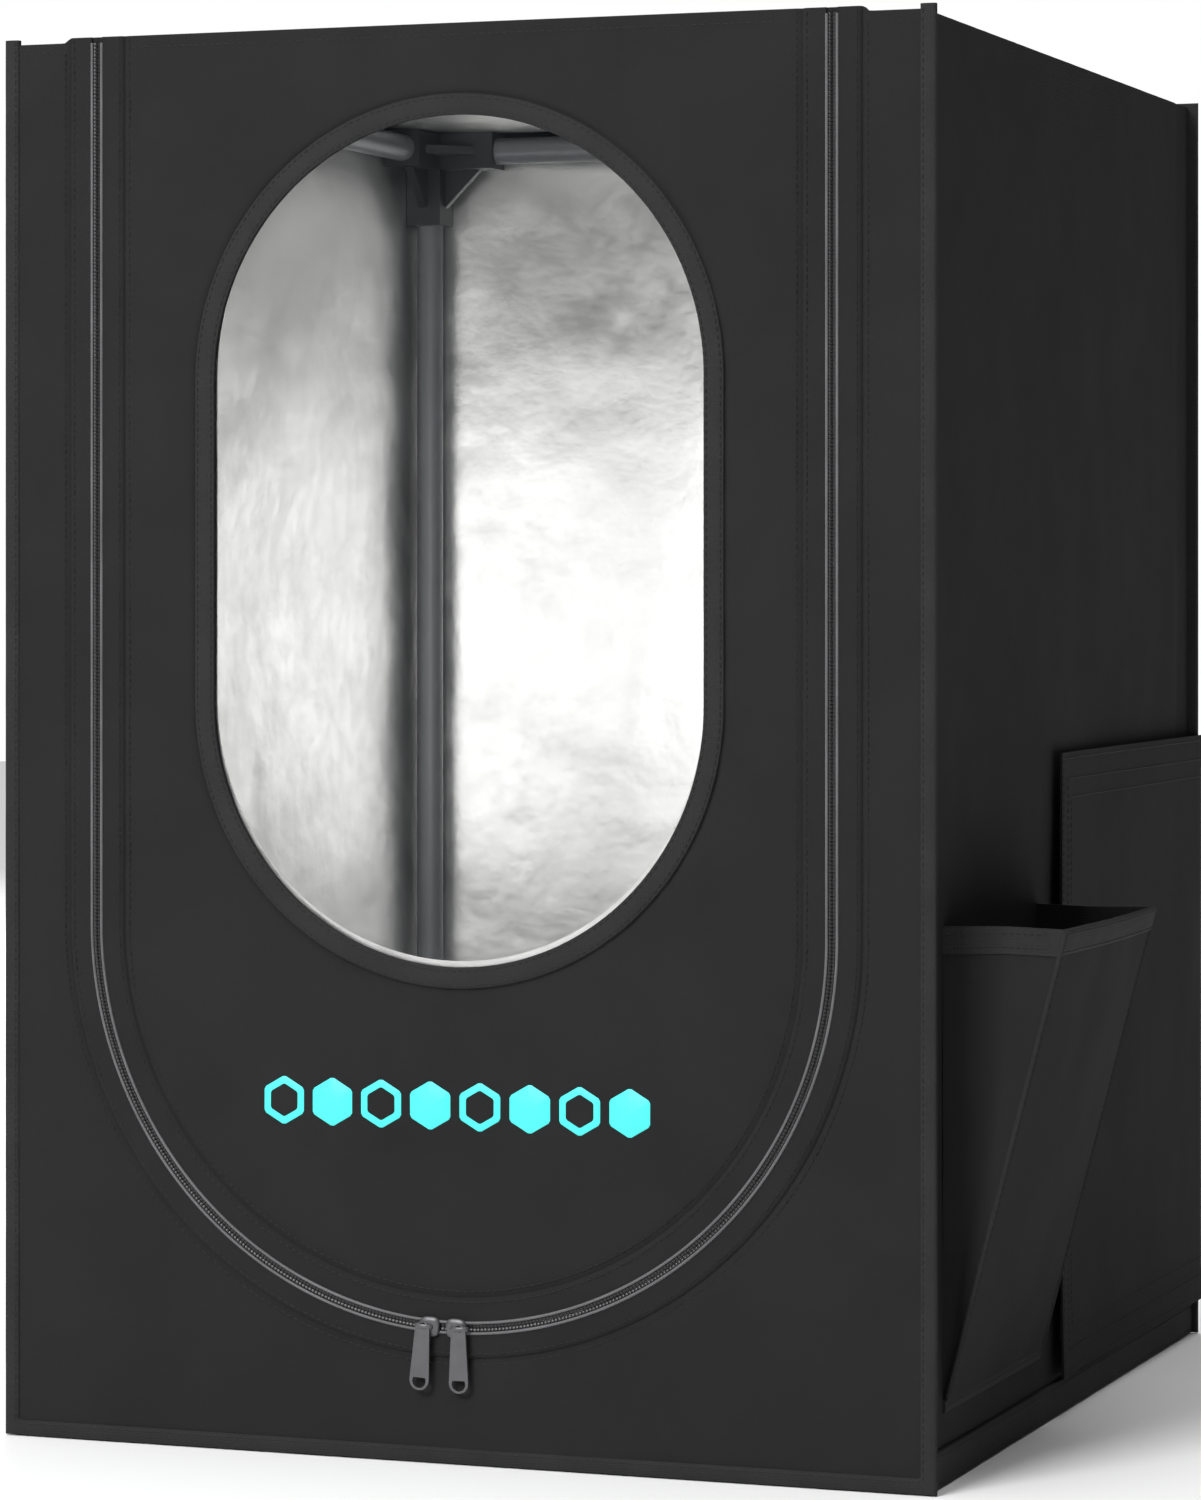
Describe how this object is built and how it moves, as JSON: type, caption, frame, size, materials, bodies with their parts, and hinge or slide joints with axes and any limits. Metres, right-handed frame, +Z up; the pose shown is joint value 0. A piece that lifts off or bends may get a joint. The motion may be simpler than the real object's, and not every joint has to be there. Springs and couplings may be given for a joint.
{
  "type": "printer enclosure tent",
  "caption": "Box-shaped cloth tent for a desktop 3-D printer, with a U-zipped windowed door, a foil lining, a pole frame, a side bellows pocket and a cable flap.",
  "frame": {"origin": "middle of the tent's footprint, on the surface that it stands on", "axes": "+Z up, -Y out of the zipped door, +X towards the wall with the pocket"},
  "size_m": [0.5583, 0.5556, 0.72],
  "materials": {
    "oxford_cloth": "coated woven polyester",
    "foil_lining": "aluminised film",
    "binding_tape": "woven tape",
    "pole": "satin",
    "connector": "moulded",
    "clear_film": "clear flexible film",
    "zip_tape": "woven tape",
    "zip_coil": "moulded coil",
    "zip_metal": "satin",
    "cyan_print": "printed film",
    "hook_and_loop": "hook and loop tape"
  },
  "bodies": {
    "tent": {"roof_panel": "oxford_cloth", "floor_panel": "oxford_cloth", "left_panel": "oxford_cloth", "right_panel": "oxford_cloth", "back_panel": "oxford_cloth", "front_panel": "oxford_cloth", "roof_lining": "foil_lining", "floor_lining": "foil_lining", "left_lining": "foil_lining", "right_lining": "foil_lining", "back_lining": "foil_lining", "front_lining": "foil_lining", "front_binding": "binding_tape", "rear_binding": "binding_tape", "left_hem": "binding_tape", "right_hem": "binding_tape", "door_top_binding": "binding_tape", "flap_hinge_strip": "binding_tape", "pole_front_left": "pole", "pole_front_right": "pole", "pole_front_lower": "pole", "pole_front_upper": "pole", "pole_rear_left": "pole", "pole_rear_right": "pole", "pole_rear_lower": "pole", "pole_rear_upper": "pole", "pole_left_lower": "pole", "pole_left_upper": "pole", "pole_right_lower": "pole", "pole_right_upper": "pole", "connector_lower_front_left": "connector", "connector_lower_front_right": "connector", "connector_lower_rear_left": "connector", "connector_lower_rear_right": "connector", "connector_upper_front_left": "connector", "connector_upper_front_right": "connector", "connector_upper_rear_left": "connector", "connector_upper_rear_right": "connector", "zipper_tape_frame": "zip_tape", "zipper_chain_frame": "zip_coil", "pocket_gusset_front": "oxford_cloth", "pocket_gusset_rear": "oxford_cloth", "flap_hook_strip": "hook_and_loop"},
    "door": {"door_panel": "oxford_cloth", "door_lining": "foil_lining", "window_film": "clear_film", "window_binding": "binding_tape", "zipper_tape_door": "zip_tape", "zipper_chain_door": "zip_coil", "door_print": "cyan_print"},
    "left_slider": {"slider_left": "zip_metal"},
    "right_slider": {"slider_right": "zip_metal"},
    "left_pull": {"pull_left": "zip_metal"},
    "right_pull": {"pull_right": "zip_metal"},
    "pocket": {"pocket_panel": "oxford_cloth", "pocket_rim": "binding_tape"},
    "flap": {"side_flap": "oxford_cloth", "flap_loop_strip": "hook_and_loop"}
  },
  "joints": [
    {"name": "door_lift", "type": "hinge", "parent": "tent", "child": "door", "pos_m": [0, -0.2778, 0.72], "axis": [-1, 0, 0], "range_deg": [0, 262]},
    {"name": "left_slider_run", "type": "hinge", "parent": "door", "child": "left_slider", "pos_m": [0, -0.2745, 0.2655], "axis": [0, 1, 0], "range_deg": [0, 85]},
    {"name": "right_slider_run", "type": "hinge", "parent": "door", "child": "right_slider", "pos_m": [0, -0.2745, 0.2655], "axis": [0, 1, 0], "range_deg": [-88, 0]},
    {"name": "left_pull_swing", "type": "hinge", "parent": "left_slider", "child": "left_pull", "pos_m": [-0.01531, -0.2784, 0.06858], "axis": [-0.9979, 0, 0.0654], "range_deg": [-3, 170]},
    {"name": "right_pull_swing", "type": "hinge", "parent": "right_slider", "child": "right_pull", "pos_m": [0.00395, -0.2784, 0.06803], "axis": [-1, 0, -0.0079], "range_deg": [-3, 170]},
    {"name": "pocket_fold", "type": "hinge", "parent": "tent", "child": "pocket", "pos_m": [0.2448, -0.1535, 0.041], "axis": [0, 1, 0], "range_deg": [-13.5, 0], "deforming": ["pocket_gusset_front", "pocket_gusset_rear"]},
    {"name": "flap_swing", "type": "hinge", "parent": "tent", "child": "flap", "pos_m": [0.2509, 0.2745, 0.185], "axis": [0, 0, 1], "range_deg": [0, 170]}
  ]
}
